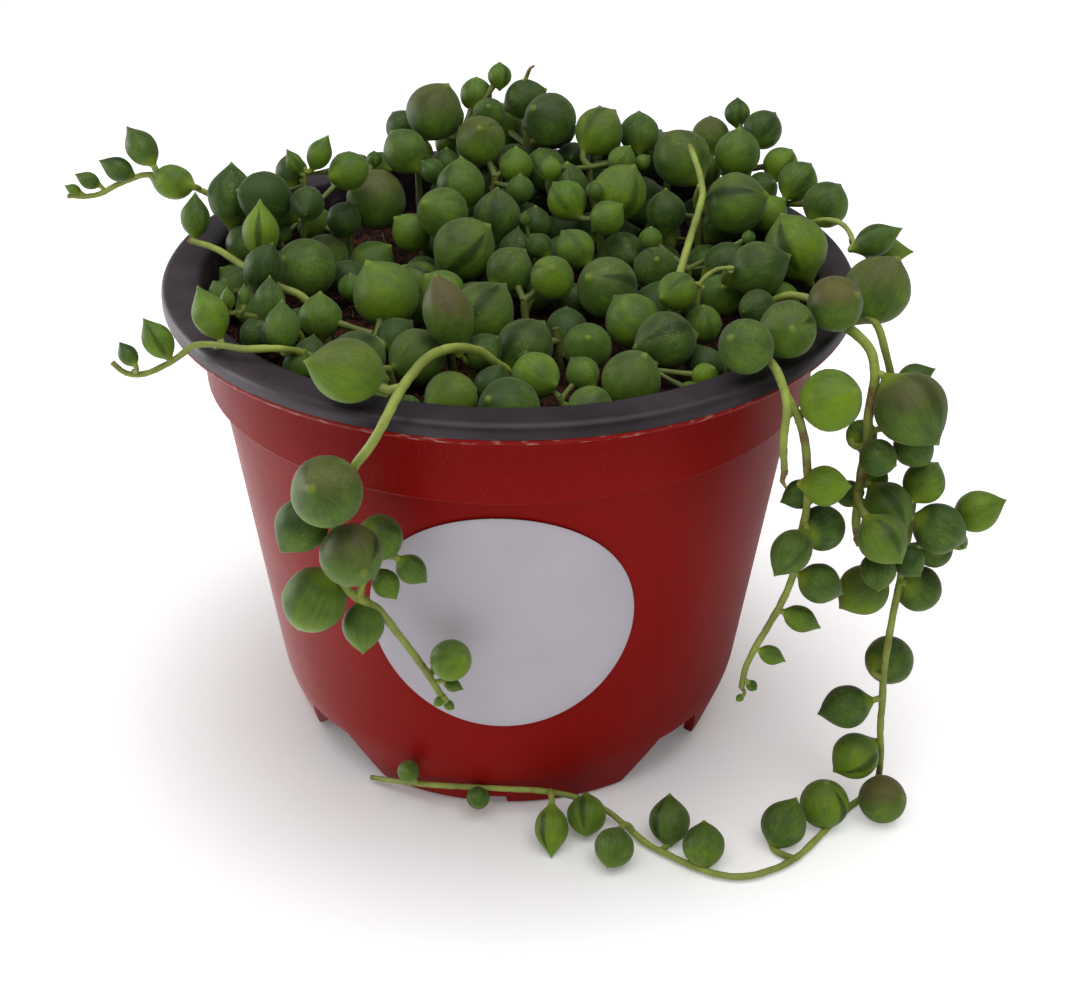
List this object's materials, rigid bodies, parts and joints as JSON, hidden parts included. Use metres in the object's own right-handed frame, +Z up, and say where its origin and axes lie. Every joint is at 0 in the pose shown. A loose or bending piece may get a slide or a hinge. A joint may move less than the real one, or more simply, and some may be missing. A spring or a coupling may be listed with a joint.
{
  "type": "potted string of pearls",
  "caption": "Trailing succulent with bead-shaped pointed leaves on thin stems, rooted in peat in a round tapered nursery pot with a rolled lip and a round blank-edged label.",
  "frame": {"origin": "centre of the pot's flat underside, on the surface that it stands on", "axes": "+Z up along the pot's axis, -Y towards the label, +X to the right as seen from the label's side"},
  "size_m": [0.1357, 0.1088, 0.0916],
  "materials": {
    "pot": "satin red-brown moulded plastic with a charcoal lip and inside",
    "label": "pale coated paper sticker",
    "soil": "damp brown coir and peat crumbs",
    "plant": "waxy green succulent leaves with a dark translucent stripe, on yellow-green stems"
  },
  "bodies": {
    "root": {"pot": "pot", "soil": "soil", "label": "label", "strand_left_high": "plant", "strand_left_cut": "plant", "strand_left_low": "plant", "strand_left_buds": "plant", "strand_left_upright": "plant", "strand_front": "plant", "strand_brown_leaf": "plant", "strand_right_bare": "plant", "strand_right_side": "plant", "strand_right_top": "plant", "strand_cluster": "plant", "strand_long": "plant", "strand_right_rim": "plant", "strand_right_low": "plant", "tuft_01": "plant", "tuft_02": "plant", "tuft_03": "plant", "tuft_04": "plant", "tuft_05": "plant", "tuft_06": "plant", "tuft_07": "plant", "tuft_08": "plant", "tuft_09": "plant", "tuft_10": "plant", "tuft_11": "plant", "tuft_12": "plant", "tuft_13": "plant", "tuft_14": "plant", "tuft_15": "plant", "tuft_16": "plant", "tuft_17": "plant", "tuft_18": "plant", "tuft_19": "plant", "tuft_20": "plant", "tuft_21": "plant", "tuft_22": "plant", "tuft_23": "plant", "tuft_24": "plant", "tuft_25": "plant", "tuft_26": "plant", "tuft_27": "plant", "tuft_28": "plant", "tuft_29": "plant", "tuft_30": "plant"}
  },
  "joints": []
}
